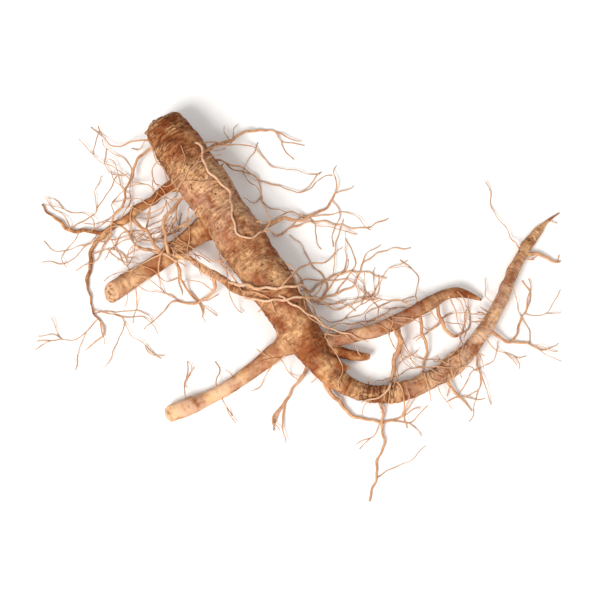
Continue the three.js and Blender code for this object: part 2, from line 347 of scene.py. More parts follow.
def rootObject(name, root):
    # Quads between rings, a fan of triangles at each tip, and the skin's values on face corners so
    # that a join keeps each side's own. What is below the table is raised to it.
    rings, around = root["places"].shape[:2]
    places = withTips(root["places"])
    places[:, 2] = np.maximum(places[:, 2], 0)
    row = np.arange(rings - 1)[:, None] * around
    here = np.arange(around)
    after = (here + 1) % around
    quads = np.stack([row + here, row + after, row + around + after, row + around + here], -1)
    lastRing = (rings - 1) * around
    startFan = np.stack([np.full(around, rings * around), after, here], -1)
    endFan = np.stack([np.full(around, rings * around + 1), lastRing + here, lastRing + after], -1)
    mesh = bpy.data.meshes.new(name)
    faces = quads.reshape(-1, 4).tolist() + startFan.tolist() + endFan.tolist()
    mesh.from_pydata((places * millimetre).tolist(), [], faces)
    mesh.polygons.foreach_set("use_smooth", np.ones(len(mesh.polygons), bool))
    corner = np.zeros(len(mesh.loops), np.int32)
    mesh.loops.foreach_get("vertex_index", corner)
    layer = mesh.attributes.new("straightened", "FLOAT_VECTOR", "CORNER")
    layer.data.foreach_set("vector", withTips(straightened(root))[corner].astype(np.float32).ravel())
    for layerName, value in root["paint"].items():
        layer = mesh.attributes.new(layerName, "FLOAT", "CORNER")
        values = withTips(np.broadcast_to(value, (rings, around)))
        layer.data.foreach_set("value", values[corner].astype(np.float32))
    ob = bpy.data.objects.new(name, mesh)
    bpy.context.collection.objects.link(ob)
    return ob


# What every root has where its own settings don't say otherwise, in millimetres. Lumps are [size, height],
# sways are [wavelength, height], bulges are in radii, and rings, pale, brown, the side's painted shade and
# rough are knots of [distance along the root, share].
plainSkin = {
    "around": 40, "paces": [[0, 0.38]], "capRings": 8, "startBulge": 0.5, "startFlatness": 2,
    "endBulge": 1, "endFlatness": 2, "startSlant": 0, "endSlant": 0,
    "lumps": [[5.0, 0.18], [2.2, 0.1], [1.1, 0.04]], "sink": 0.08,
    "ringPitch": 1.1, "ringDepth": 0.14, "furrowDepth": 0.06, "rings": [[0, 0.35]], "marks": [],
    "tornHeight": 0.0, "tornSize": 1.0, "pale": [[0, 0]], "brown": [[0, 0]], "paintedSideShade": [[0, 0]],
    "rough": [[0, 0.45]], "startCut": 0, "endCut": 0, "sways": [],
}

sideRoot = {**plainSkin, "growsOn": "bodyAndTail", "radius": 2.5}

# knobs and pits, of which each root has its own number in its own stretch
knob = {"sizes": [0.5, 1.1], "heights": [0.1, 0.3], "squat": 0.6, "dark": 0.0}
pit = {"sizes": [0.3, 0.5], "heights": [-0.25, -0.1], "squat": 0.8, "dark": 0.9}

bodyAndTail = {
    **plainSkin, "seed": 1, "radius": 7, "around": 74, "paces": [[0, 0.43], [84, 0.43], [98, 0.32]],
    "capRings": 16, "startBulge": 0.3, "startFlatness": 3, "startSlant": 0.35, "startCut": 0.7,
    "tornHeight": 0.7, "tornSize": 3.2,
    "lumps": [[15.0, 0.5], [7.0, 0.42], [3.0, 0.3], [1.4, 0.18]], "sink": 0.26,
    "ringPitch": 0.85, "ringDepth": 0.24, "furrowDepth": 0.12,
    "rings": [[-2, 1.0], [10, 0.95], [22, 0.7], [60, 0.65], [84, 0.8], [94, 1.05], [108, 1.0],
              [122, 0.6], [190, 0.65]],
    "marks": [
        {**knob, "count": 34, "arcs": [0, 95], "sizes": [0.7, 1.6], "heights": [0.2, 0.6], "squat": 0.7},
        {**knob, "count": 46, "arcs": [2, 100], "sizes": [0.7, 1.5], "heights": [0.08, 0.2], "squat": 0.3},
        {**pit, "count": 60, "arcs": [2, 185], "sizes": [0.35, 0.7], "heights": [-0.4, -0.15]},
    ],
    "pale": [[0, 0.0], [14, 0.1], [25, 0.5], [38, 0.5], [46, 0.1], [60, 0.15], [84, 0.0], [104, 0.2],
             [116, 0.6], [134, 1.0], [150, 0.6], [165, 0.25], [185, 0]],
    "brown": [[0, 0.3], [20, 0.1], [40, 0.1], [48, 0.65], [58, 0.4], [76, 0.6], [98, 0.35],
              [120, 0], [172, 0.1], [190, 0.6]],
    # painted shade: a brown on the side turned from the light, full along the body and less on the tail
    "paintedSideShade": [[0, 0.7], [76, 0.7], [98, 0.2]],
    "rough": [[0, 1.0], [70, 1.0], [88, 0.65], [104, 0.4], [130, 0.3], [190, 0.5]],
    "route": [
        [-36.4, 50.4, 0.5, 0.82], [-34.2, 47.0, 0.2, 0.92], [-31.6, 43.0, 0, 0.98],
        [-28.9, 38.8, 0, 1.0], [-26.4, 35.0, 0, 1.02], [-24.0, 31.4, 0, 1.05],
        [-21.4, 27.7, 0, 1.0], [-19.0, 24.1, 0, 0.94], [-16.8, 20.7, 0, 0.97],
        [-14.8, 17.4, 0, 1.0], [-12.7, 13.9, 0, 1.0], [-10.8, 10.8, 0, 0.97],
        [-8.9, 7.9, 0, 0.93], [-7.0, 5.0, 0, 0.95], [-4.8, 1.4, 0, 0.94],
        [-2.8, -1.9, 0, 0.9], [-0.9, -5.0, 0, 0.86], [1.0, -8.0, 0.1, 0.82],
        [2.8, -11.0, 0.2, 0.78], [4.6, -13.9, 0.3, 0.7], [6.2, -16.5, 0.4, 0.65],
        [8.2, -19.0, 0.5, 0.57], [10.2, -21.2, 0.5, 0.5], [12.6, -23.3, 0.4, 0.45],
        [17.6, -25.8, 0.1, 0.42], [23.9, -26.7, 0, 0.39], [30.2, -25.8, 0, 0.4],
        [36.4, -23.2, 0, 0.38], [42.3, -19.6, 0.3, 0.39], [47.4, -15.0, 0.8, 0.36],
        [52.0, -9.2, 1.2, 0.36], [55.8, -3.0, 1.3, 0.33], [58.8, 3.4, 1.0, 0.33],
        [61.6, 9.4, 0.6, 0.29], [64.6, 15.0, 0.3, 0.25], [68.0, 19.8, 0, 0.18],
        [71.4, 23.4, 0.1, 0.11], [74.6, 25.8, 0.2, 0.05],
    ],
}

lowerProng = {
    **sideRoot, "seed": 31, "endBulge": 0.35, "endFlatness": 2.8, "blend": 2.4,
    "rings": [[0, 0.45], [16, 0.3], [40, 0.3]], "brown": [[0, 0.7], [9, 0.55], [18, 0.15], [26, 0]],
    "pale": [[0, 0], [10, 0.2], [24, 0.75], [40, 1]],
    "tornHeight": 0.25, "endSlant": 0.45, "endCut": 0.7, "rough": [[0, 0.8], [14, 0.3], [40, 0.2]],
    "marks": [{**knob, "count": 12, "arcs": [4, 40], "heights": [0.1, 0.25]},
              {**pit, "count": 14, "arcs": [4, 40]}],
    "route": [
        [1.5, -11.5, 2.2, 1.2], [-3.1, -14.6, 1.6, 1.04], [-7.5, -18.0, 1.0, 0.97],
        [-12.3, -21.6, 0.5, 0.9], [-17.0, -24.8, 0.2, 0.78], [-22.6, -27.8, 0, 0.82],
        [-27.6, -30.2, 0, 0.98], [-32.0, -31.9, 0, 1.0],
    ],
}

upperProng = {
    **sideRoot, "seed": 44, "around": 44, "endBulge": 0.15, "endFlatness": 4, "blend": 2.6,
    "rings": [[0, 0.6], [40, 0.5]], "brown": [[0, 0.8], [14, 0.6], [30, 0.35]],
    "pale": [[0, 0], [24, 0.1], [34, 0.4]], "tornHeight": 0.35, "endSlant": 0.7, "endCut": 1,
    "rough": [[0, 0.8], [18, 0.35], [34, 0.25]],
    "marks": [{**knob, "count": 12, "arcs": [8, 36], "sizes": [0.5, 1.2]},
              {**pit, "count": 14, "arcs": [8, 36]}],
    "route": [
        [-19.5, 22.5, 1.8, 1.5], [-25.5, 18.8, 1.1, 1.34], [-31.0, 14.8, 0.7, 1.1],
        [-37.0, 10.4, 0.3, 0.98], [-43.0, 6.2, 0.1, 1.05], [-49.0, 1.9, 0, 1.14],
    ],
}

rightProng = {
    **sideRoot, "seed": 57, "around": 36, "blend": 2.2,
    "rings": [[0, 0.4], [30, 0.6], [50, 0.9]], "pale": [[0, 0.3], [20, 0.5], [34, 0.2], [48, 0]],
    "brown": [[0, 0.5], [26, 0.55], [40, 0.7]], "rough": [[0, 0.7], [20, 0.5], [50, 0.6]],
    "marks": [{**knob, "count": 14, "arcs": [4, 46]}, {**pit, "count": 14, "arcs": [4, 46]}],
    "route": [
        [6.5, -12.5, 1.8, 0.96], [11.0, -12.3, 2.6, 0.84], [17.2, -11.0, 3.1, 0.8],
        [22.5, -9.8, 3.3, 0.84], [27.2, -7.8, 3.2, 0.88], [32.2, -5.0, 3.1, 0.78],
        [37.8, -1.6, 2.6, 0.76], [42.0, 0.9, 2.1, 0.66], [45.6, 1.8, 1.4, 0.6],
        [49.0, 1.2, 0.9, 0.42], [51.6, 0.4, 0.7, 0.22],
    ],
}

brokenStub = {
    **sideRoot, "seed": 63, "around": 26, "capRings": 6, "endBulge": 0.6, "endFlatness": 2.4,
    "blend": 1.6, "brown": [[0, 1.0]], "rough": [[0, 1.0]], "endCut": 0.5, "tornHeight": 0.5,
    "tornSize": 0.8, "lumps": [[2.4, 0.25], [1.1, 0.12]],
    "route": [[8.0, -18.0, 3.2, 0.72], [12.2, -19.2, 3.5, 0.56], [14.8, -20.0, 4.0, 0.32]],
}

stump = {
    **brokenStub, "seed": 76, "around": 28, "endFlatness": 2.6, "endCut": 0.3, "tornHeight": 0.8,
    "tornSize": 1.0, "lumps": [[3.0, 0.4], [1.3, 0.25]], "sink": 0.15,
    "route": [
        [8.0, -15.0, 2.0, 0.84], [13.4, -15.4, 1.7, 0.66], [17.4, -16.1, 1.3, 0.64],
        [20.2, -16.3, 1.3, 0.5],
    ],
}

leftBranch = {
    **sideRoot, "seed": 89, "radius": 1.3, "around": 18, "paces": [[0, 0.45]], "capRings": 3,
    "blend": 1.5, "lumps": [[2.5, 0.12], [1.2, 0.05]], "sink": 0.04, "ringDepth": 0.08,
    "rings": [[0, 0.7]], "brown": [[0, 0.9], [26, 0.6], [60, 0.4]],
    "sways": [[9, 0.35], [3.6, 0.12]],
    "route": [
        [-30.0, 33.5, 4.0, 1.4], [-35.5, 31.0, 3.0, 1.14], [-40.5, 27.6, 2.0, 1.02],
        [-45.2, 24.3, 1.3, 0.96], [-50.0, 21.0, 0.7, 0.74], [-53.9, 17.8, 0.4, 0.6],
        [-55.5, 13.4, 0.2, 0.46], [-56.0, 8.0, 0.2, 0.36], [-55.8, 2.5, 0.3, 0.3],
        [-54.4, -2.0, 0.2, 0.26], [-52.4, -5.8, 0.2, 0.22],
    ],
}

leftFork = {
    **leftBranch, "growsOn": "leftBranch", "seed": 95, "around": 12, "blend": 0.8, "brown": [[0, 0.5]],
    "route": [
        [-51.5, 19.8, 0.7, 0.52], [-57.0, 20.2, 0.5, 0.46], [-62.2, 21.2, 0.3, 0.38],
        [-66.0, 24.2, 0.3, 0.3], [-70.0, 28.4, 0.2, 0.24],
    ],
}

middleBranch = {
    **leftBranch, "seed": 103, "around": 16, "blend": 1.3, "brown": [[0, 0.5], [16, 0.3], [34, 0.1]],
    "pale": [[0, 0.1], [16, 0.4], [40, 0.8]],
    "sways": [[11, 0.3], [4.1, 0.1]],
    "route": [
        [-7.5, 1.8, 5.6, 0.95], [-12.0, 0.6, 5.8, 0.92], [-16.3, 2.3, 5.7, 0.88],
        [-20.9, 5.7, 5.3, 0.84], [-25.5, 8.8, 5.1, 0.7], [-30.2, 11.0, 5.3, 0.56],
        [-34.8, 12.1, 5.5, 0.46], [-38.6, 13.2, 4.0, 0.4], [-42.2, 15.6, 1.6, 0.34],
        [-45.0, 18.6, 0.3, 0.28],
    ],
}

rootlet = {
    **plainSkin, "seed": 120, "radius": 0.5, "around": 8, "paces": [[0, 0.7]], "capRings": 2,
    "blend": 0.7, "lumps": [[1.6, 0.07]], "sink": 0.0, "ringDepth": 0, "furrowDepth": 0,
    "sways": [[9.0, 0.35], [3.7, 0.12]],
    "routes": [
        # from the underside of the body's lower end and from the tail
        [[8.0, -21.5, 2.2, 1.3], [10.9, -26.4, 1.2, 1.15], [14.3, -30.4, 0.5, 0.95],
         [18.7, -33.0, 0.2, 0.8], [22.4, -33.7, 0.2, 0.75], [26.4, -33.4, 0.3, 0.6]],
        [[5.0, -18.0, 2.5, 0.9], [3.0, -21.0, 1.6, 0.8], [0.2, -25.6, 0.6, 0.7],
         [-2.2, -28.6, 0.2, 0.9]],
        [[23.6, -26.8, 0.8, 0.9], [24.3, -33.6, 0.9, 0.75], [24.4, -39.4, 0.4, 0.65],
         [22.9, -45.0, 0.2, 0.58], [21.9, -50.0, 0.2, 0.52], [20.8, -55.0, 0.2, 0.5]],
        [[41.0, -20.0, 1.6, 1.2], [42.4, -23.2, 1.4, 0.95], [44.7, -27.2, 0.5, 0.6]],
        [[49.6, -13.2, 1.6, 0.8], [50.4, -16.4, 1.2, 0.65], [50.6, -20.4, 0.4, 0.5]],
        [[53.6, -8.6, 2.0, 1.0], [56.6, -10.8, 1.2, 0.9], [60.6, -11.7, 0.5, 0.75],
         [65.4, -12.6, 0.2, 0.5]],
        [[59.6, -11.8, 0.6, 0.65], [61.6, -8.4, 0.6, 0.55], [64.0, -2.0, 0.3, 0.5]],
        [[63.6, 13.4, 1.0, 1.5], [67.6, 13.6, 0.7, 1.1], [71.2, 12.0, 0.4, 0.85],
         [74.2, 11.8, 0.2, 0.6]],
        # from the right prong
        [[28.4, -8.0, 3.6, 1.9], [29.1, -13.4, 2.4, 1.5], [27.6, -18.4, 1.2, 1.1],
         [26.6, -22.4, 0.5, 0.8]],
        [[34.6, -4.6, 3.4, 1.1], [35.9, -10.9, 2.2, 0.9], [36.4, -15.6, 1.0, 0.75],
         [35.6, -19.6, 0.4, 0.55]],
        [[39.6, -1.4, 3.0, 1.1], [41.0, -7.4, 1.6, 1.0], [43.6, -9.6, 0.9, 0.8],
         [46.4, -9.4, 0.5, 0.55]],
        # from the head end, the body's left side and the left branch
        [[-37.0, 44.6, 5.0, 0.9], [-41.8, 43.0, 3.4, 0.8], [-44.6, 38.0, 1.8, 0.7],
         [-45.8, 32.6, 3.4, 0.6], [-47.0, 28.0, 3.0, 0.6], [-49.6, 22.8, 2.6, 0.55],
         [-51.2, 17.6, 0.4, 0.5]],
        [[-30.0, 28.6, 5.4, 1.1], [-34.4, 22.0, 7.4, 0.95], [-34.4, 15.0, 8.0, 0.85],
         [-31.2, 8.6, 3.6, 0.75], [-28.6, 3.0, 0.6, 0.6]],
        [[-45.0, 24.6, 1.8, 1.2], [-41.4, 20.4, 3.4, 1.0], [-38.6, 16.8, 5.0, 0.9],
         [-36.0, 12.6, 5.6, 0.8]],
        [[-21.0, 5.6, 5.6, 1.2], [-21.2, 2.4, 4.2, 0.9], [-23.0, 0.2, 2.2, 0.75],
         [-26.2, -0.6, 0.8, 0.6], [-29.6, -0.2, 0.3, 0.5]],
        # from the body's right side
        [[-25.4, 42.4, 5.4, 1.3], [-19.6, 45.2, 4.4, 1.05], [-14.2, 49.2, 2.2, 0.85],
         [-9.4, 51.4, 0.6, 0.7], [-4.6, 50.6, 0.2, 0.5]],
        [[-9.0, 19.6, 4.6, 1.4], [-3.0, 22.6, 3.4, 1.15], [2.8, 23.6, 1.6, 0.9],
         [8.4, 26.6, 0.5, 0.7], [12.4, 31.6, 0.2, 0.5]],
    ],
}

hair = {
    **plainSkin, "seed": 400, "paces": [[0, 1.0]], "capRings": 2, "lumps": [[1.3, 0.04]],
    "sink": 0.0, "ringDepth": 0, "furrowDepth": 0,
    # its heading swings: wavelengths and angles, how the waves stretch, and where they fade in
    "swings": [[38, 0.6], [13, 0.36], [4.8, 0.17]], "stretches": [0.8, 1.25], "fadeIn": 5,
    # it falls to the table over so many times its start's height, keeps a share of its start's rise,
    # and then floats above the table in waves
    "falls": [0.7, 1.6], "leastFall": 1.0, "riseShare": 0.8, "floats": [0, 1.6], "floatWave": 19,
    # its middle's height over a root and over the table, in radii, how many steps it looks for roots
    # over, smooths its height over and keeps its start for, and how clear it is of its parent first
    "onRoot": 0.6, "onTable": 0.9, "lookSteps": 2, "smoothSteps": 5, "startSteps": 3, "gap": 0.3,
    # how it thins, its least radius and length, how far inside the CAD model's box it ends, and how
    # far it may rise above that box
    "thinning": 0.6, "thinningPower": 1.3, "thinnest": 0.13, "shortest": 2.5, "boxMargin": 0.8,
    "topMargin": 0.35,
    # how pale it is, and how many sides it has when its radius is under and over the change
    "paleness": [-0.5, 0.8], "thinSides": 5, "thickSides": 6, "sidesChange": 0.2,
    # its forks: how many, where, how long, how far they turn and how thick they are
    "forksPerMillimetre": 0.045, "forkPlaces": [0.15, 0.8], "forkLengths": [0.35, 0.9],
    "forkExtra": 3, "forkTurns": [0.3, 0.8], "forkGirth": 0.75,
    # the hairs that a thin end runs on as
    "tipGirths": [0.95, 0.7], "tipLengths": [5, 15],
    # where it starts round its parent and how deep in it, and how it turns from straight out
    "startTurns": [-0.5, 0.9], "startDepth": 0.55, "turns": [-0.7, 0.7],
    # what each root, or each of the rootlets, grows: how many hairs, on which stretch, of which
    # lengths and radii
    "beds": [
        ["bodyAndTail", 11, [2, 30], [16, 44], [0.16, 0.27]],
        ["bodyAndTail", 11, [30, 84], [14, 38], [0.16, 0.27]],
        ["bodyAndTail", 9, [88, 186], [6, 24], [0.12, 0.18]],
        ["bodyAndTail", 16, [4, 180], [2.6, 3.6], [0.2, 0.32]],
        ["leftBranch", 10, [4, 56], [10, 34], [0.14, 0.22]],
        ["leftFork", 6, [2, 22], [8, 24], [0.13, 0.2]],
        ["middleBranch", 2, [28, 46], [6, 16], [0.14, 0.22]],
        ["rightProng", 8, [10, 50], [6, 20], [0.14, 0.23]],
        ["lowerProng", 4, [8, 38], [4, 14], [0.15, 0.2]],
        ["upperProng", 2, [12, 34], [4, 12], [0.15, 0.2]],
        ["rootlets", 1, [3, 26], [8, 24], [0.12, 0.18]],
    ],
    # hairs that lie across the body, as [x, y] points and a radius, with how they sway and how deep
    # and how far along their starts dip into the skin
    "drapedSways": [[5.0, 0.25]], "dipDepth": 3.5, "dipLength": 1.6,
    "draped": [
        {"radius": 0.4, "points": [
            [-27.5, 42.5], [-25.0, 40.9], [-23.6, 34.6], [-20.6, 30.8], [-16.9, 27.3], [-16.0, 20.8],
            [-14.6, 15.2], [-11.5, 13.6], [-6.5, 16.8], [-0.5, 21.4], [7.8, 23.6], [19.0, 21.4],
            [27.0, 24.5]]},
        {"radius": 0.46, "points": [
            [-18.5, 3.6], [-12.5, 1.4], [-8.8, 0.0], [-1.4, 0.2], [4.2, 2.3], [9.0, 6.0], [13.5, 8.1],
            [20.0, 8.6], [26.0, 6.5]]},
        {"radius": 0.4, "points": [
            [-13.0, -0.5], [-8.8, -3.0], [-1.4, -3.2], [3.5, -1.8], [7.8, 0.5], [13.0, 2.6], [17.2, 4.9],
            [20.0, 11.2], [26.5, 15.1], [33.0, 15.5]]},
        {"radius": 0.34, "points": [
            [-4.6, -1.2], [-0.5, -3.8], [4.2, -6.5], [9.7, -9.5], [15.3, -11.3], [20.5, -13.5]]},
    ],
}

# where painted shade and cut faces are: the way that the lit side faces, roughly towards the key light, and
# how each fades in. The side turned away from that way is painted browner as shade.
sideShadeAndCutFades = {"litWay": [-0.72, -0.42, 0.55], "fade": [-0.2, 0.9], "cutFade": [0.02, 0.2]}


def paint(root, isHair, paleness):
    # The skin's values for its material: how deep in a hollow, how ringed, how pale, how brown, how much of
    # a cut face, how much of a hair and how rough it is. The brown is stains along the root plus painted
    # shade: it grows with how far a spoke is turned away from the lit way, so the side away from the key
    # light is painted darker.
    settings = root["settings"]
    face = smoothStep(np.abs(root["inset"]), *sideShadeAndCutFades["cutFade"])
    cut = face * np.where(root["inset"] > 0, settings["endCut"], settings["startCut"])
    brown = alongRoot(root, settings["brown"])
    # painted shade: the side turned from the light is made browner
    shadedSide = smoothStep(-root["spoke"] @ np.array(sideShadeAndCutFades["litWay"]), *sideShadeAndCutFades["fade"])
    brown = brown + alongRoot(root, settings["paintedSideShade"]) * shadedSide
    root["paint"] = {
        "hollow": root["hollow"], "ringed": root["ringed"],
        "pale": np.clip(alongRoot(root, settings["pale"]) + paleness, 0, 1),
        "brown": np.clip(brown, 0, 1), "cut": cut[:, None], "hair": np.full((1, 1), isHair),
        "rough": alongRoot(root, settings["rough"]),
    }


def growRoot(settings, chance):
    # A root's path is its route, swayed from side to side, and its plain skin is swept along that.
    return sweepRoot(settings, swayPath(walkRoute(settings), settings["sways"], chance))


def finishRoot(root, chance, isHair=0.0, paleness=0.0):
    # Relief comes first, because the paint lies in the hollows that it makes.
    wrinkle(root, chance)
    paint(root, isHair, paleness)
    return root


def heightMap(roots):
    # The roots' highest point in each cell of a grid over the table, with cells to spare on each side.
    # Each is raised to the highest of the cells round it, so that no gap is left between points.
    tops = np.zeros(np.ceil((boxHigh - boxLow)[:2] / mapCell).astype(int) + 3)
    for root in roots:
        places = root["places"].reshape(-1, 3)
        at = ((places[:, :2] - boxLow[:2]) / mapCell).astype(int) + 1
        np.maximum.at(tops, tuple(np.clip(at, 0, np.array(tops.shape) - 1).T), places[:, 2])
    spread = [np.roll(tops, shift, (0, 1)) for shift in np.ndindex(3, 3)]
    return np.roll(np.max(spread, axis=0), (-1, -1), (0, 1))


def coverHeight(flat, ground):
    # How high the thick roots stand above the table at each place: the map's value in its cell.
    at = ((flat - boxLow[:2]) / mapCell).astype(int) + 1
    inside = ((at >= 0) & (at < ground.shape)).all(axis=1)
    at = np.where(inside[:, None], at, 0)
    return np.where(inside, ground[tuple(at.T)], 0)


def settle(flat, height, cover, radius):
    # The height of a hair that rests on what is under it: the greater of its own height and the
    # highest cover a few steps round it, smoothed by a raised cosine, and kept inside the box. The
    # hair ends where it would leave the box, and thins by 1 - thinning * t^power towards its tip. Every
    # second place is enough for its curve.
    look, ease, start = hair["lookSteps"], hair["smoothSteps"], hair["startSteps"]
    window = np.hanning(2 * ease + 1)
    window = window / window.sum()
    around = np.lib.stride_tricks.sliding_window_view(np.pad(cover, look, mode="edge"), 2 * look + 1)
    highest = around.max(axis=1)
    padded = np.pad(np.maximum(height, highest + hair["onRoot"] * radius), ease, mode="edge")
    settled = np.maximum(np.convolve(padded, window, "valid"), hair["onTable"] * radius)
    settled[:start] = height[:start]
    places = np.column_stack([flat, np.minimum(settled, boxHigh[2] + hair["topMargin"] - radius)])
    margin = hair["boxMargin"]
    inside = ((flat > boxLow[:2] + margin) & (flat < boxHigh[:2] - margin)).all(axis=1)
    places = places[:len(inside) if inside.all() else np.argmin(inside)]
    if len(places) * hairStep < hair["shortest"]:
        return None
    thinning = hair["thinning"] * np.linspace(0, 1, len(places)) ** hair["thinningPower"]
    girth = np.maximum(radius * (1 - thinning), hair["thinnest"])
    path, arc = smoothPath(np.column_stack([places, girth])[::2], hair["paces"])
    return {"centre": path[:, :3], "radius": path[:, 3], "arc": arc}


def layHair(start, rise, heading, length, radius, parent, ground, chance):
    # From its start inside the parent, a hair walks off with its heading plus a sum of sines of the
    # way walked, sinks to the table as exp(-(arc / fall)^2), and is lifted over any root in its way.
    arc = np.arange(0, length, hairStep)
    swing = np.zeros(len(arc))
    for wavelength, angle in hair["swings"]:
        turns = arc / (wavelength * chance.uniform(*hair["stretches"])) + chance.random()
        swing = swing + angle * np.sin(2 * math.pi * turns)
    way = heading + (swing - swing[0]) * np.clip(arc / hair["fadeIn"], 0, 1)
    strides = np.column_stack([np.cos(way), np.sin(way)]) * hairStep
    flat = start[:2] + np.cumsum(strides, axis=0) - strides[0]
    drop = np.exp(-(arc / (chance.uniform(*hair["falls"]) * max(start[2], hair["leastFall"]))) ** 2)
    afloat = chance.uniform(*hair["floats"])
    afloat = afloat * (0.5 + 0.5 * np.sin(2 * math.pi * (arc / hair["floatWave"] + chance.random())))
    height = radius + afloat * (1 - drop) + (start[2] - radius) * drop
    height = height + max(rise, 0) * arc * drop * hair["riseShare"]
    gap = distanceTo(np.column_stack([flat, np.full(len(flat), start[2])]), parent)
    cover = coverHeight(flat, ground) * np.maximum.accumulate(gap > radius + hair["gap"])
    return settle(flat, height, cover, radius)


def forkHair(parent, ground, chance):
    # A finer hair that leaves another part way along it, with a heading of that one's plus or minus a
    # turn.
    centre, arc = parent["centre"], parent["arc"]
    k = int(len(arc) * chance.uniform(*hair["forkPlaces"]))
    ahead = centre[min(k + 1, len(arc) - 1)] - centre[max(k - 1, 0)]
    turn = chance.choice([-1, 1]) * chance.uniform(*hair["forkTurns"])
    length = (arc[-1] - arc[k]) * chance.uniform(*hair["forkLengths"]) + hair["forkExtra"]
    radius = max(hair["forkGirth"] * parent["radius"][k], hair["thinnest"])
    heading = math.atan2(ahead[1], ahead[0]) + turn
    return layHair(centre[k], 0, heading, length, radius, parent, ground, chance)


def tipHairs(parent, ground, chance):
    # A root's thin end runs on as hairs: the first goes straight on, and the others turn aside.
    ahead = parent["centre"][-1] - parent["centre"][-3]
    for k, girth in enumerate(hair["tipGirths"]):
        turn = chance.choice([-1, 1]) * chance.uniform(*hair["forkTurns"])
        heading = math.atan2(ahead[1], ahead[0]) + (k > 0) * turn
        length, radius = chance.uniform(*hair["tipLengths"]), girth * parent["radius"][-1]
        yield layHair(parent["centre"][-1], 0, heading, length, radius, parent, ground, chance)


def bedHair(parent, arcs, lengths, radii, ground, chance):
    # A hair from a place on a root's left or right side, a little above or below the middle of it:
    # centre + depth * radius * (cos turn side + sin turn up).
    k = int(np.argmin(np.abs(parent["arc"] - chance.uniform(*arcs))))
    k = min(max(k, 1), len(parent["arc"]) - 2)
    tangent = parent["centre"][k + 1] - parent["centre"][k - 1]
    side = np.array([-tangent[1], tangent[0], 0]) * chance.choice([-1, 1])
    side /= np.linalg.norm(side)
    turn = chance.uniform(*hair["startTurns"])
    spoke = math.cos(turn) * side + math.sin(turn) * np.array([0, 0, 1.0])
    start = parent["centre"][k] + hair["startDepth"] * parent["radius"][k] * spoke
    heading = math.atan2(side[1], side[0]) + chance.uniform(*hair["turns"])
    length, radius = chance.uniform(*lengths), chance.uniform(*radii)
    return layHair(start, spoke[2], heading, length, radius, parent, ground, chance)


def drapeHair(draped, ground, chance):
    # A hair along given points, with its height from what it lies on. Its first end dips into the skin that
    # it grows from, by depth * radius * exp(-(arc / length)^2).
    points = np.array(draped["points"]) - outlineMiddle[:2]
    walked, arc = smoothPath(np.column_stack([points, np.zeros(len(points))]), [[0, hairStep]])
    flat = swayPath({"centre": walked, "arc": arc}, hair["drapedSways"], chance)["centre"][:, :2]
    cover = coverHeight(flat, ground)
    path = settle(flat, cover.copy(), cover, draped["radius"])
    dip = hair["dipDepth"] * draped["radius"] * np.exp(-(path["arc"] / hair["dipLength"]) ** 2)
    path["centre"][:, 2] -= dip
    return path


def growHairs(paths, ground, chance):
    # Hairs are laid across the body, which are the palest, on from each thin end, and from each bed.
    # Then each one forks as often as a Poisson draw for its length says, and all are swept and
    # finished.
    tipped = [*paths["rootlets"], *(paths[name] for name in ("leftBranch", "leftFork", "middleBranch"))]
    laid = [drapeHair(draped, ground, chance) for draped in hair["draped"]]
    palest = len(laid)
    for parent in tipped:
        laid += tipHairs(parent, ground, chance)
    for name, count, *ranges in hair["beds"]:
        for parent in paths["rootlets"] if name == "rootlets" else [paths[name]]:
            laid += [bedHair(parent, *ranges, ground, chance) for _ in range(count)]
    laid = [path for path in laid if path]
    for path in list(laid):
        forks = chance.poisson(path["arc"][-1] * hair["forksPerMillimetre"])
        laid += [fork for fork in (forkHair(path, ground, chance) for _ in range(forks)) if fork]
    for k, path in enumerate(laid):
        isThin = path["radius"][0] < hair["sidesChange"]
        sides = hair["thinSides"] if isThin else hair["thickSides"]
        paleness = 1 if k < palest else chance.uniform(*hair["paleness"])
        root = sweepRoot({**hair, "seed": hair["seed"] + k, "around": sides}, path)
        yield finishRoot(root, chance, 1.0, paleness)


def joinSkins(name, first, others):
    # Blender's Manifold boolean joins closed skins and drops what is inside. The seams are then
    # cleaned: points closer than seamGap are merged, points between only two edges are dropped, the
    # faces are made triangles, and an edge that more than two of them share shrinks to a point.
    grafts = bpy.data.collections.new("grafts")
    for ob in others:
        grafts.objects.link(ob)
    join = first.modifiers.new("join", "BOOLEAN")
    join.operation = "UNION"
    join.solver = "MANIFOLD"
    join.operand_type = "COLLECTION"
    join.collection = grafts
    seen = first.evaluated_get(bpy.context.evaluated_depsgraph_get())
    mesh = bpy.data.meshes.new_from_object(seen)
    mesh.name = name
    edited = bmesh.new()
    edited.from_mesh(mesh)
    bmesh.ops.remove_doubles(edited, verts=edited.verts, dist=seamGap * millimetre)
    between = [point for point in edited.verts if len(point.link_edges) == 2]
    bmesh.ops.dissolve_verts(edited, verts=between)
    bmesh.ops.triangulate(edited, faces=edited.faces)
    shared = [edge for edge in edited.edges if len(edge.link_faces) > 2]
    bmesh.ops.collapse(edited, edges=shared)
    edited.to_mesh(mesh)
    edited.free()
    for ob in [first, *others]:
        bpy.data.objects.remove(ob)
    bpy.data.collections.remove(grafts)
    whole = bpy.data.objects.new(name, mesh)
    bpy.context.collection.objects.link(whole)
    return whole


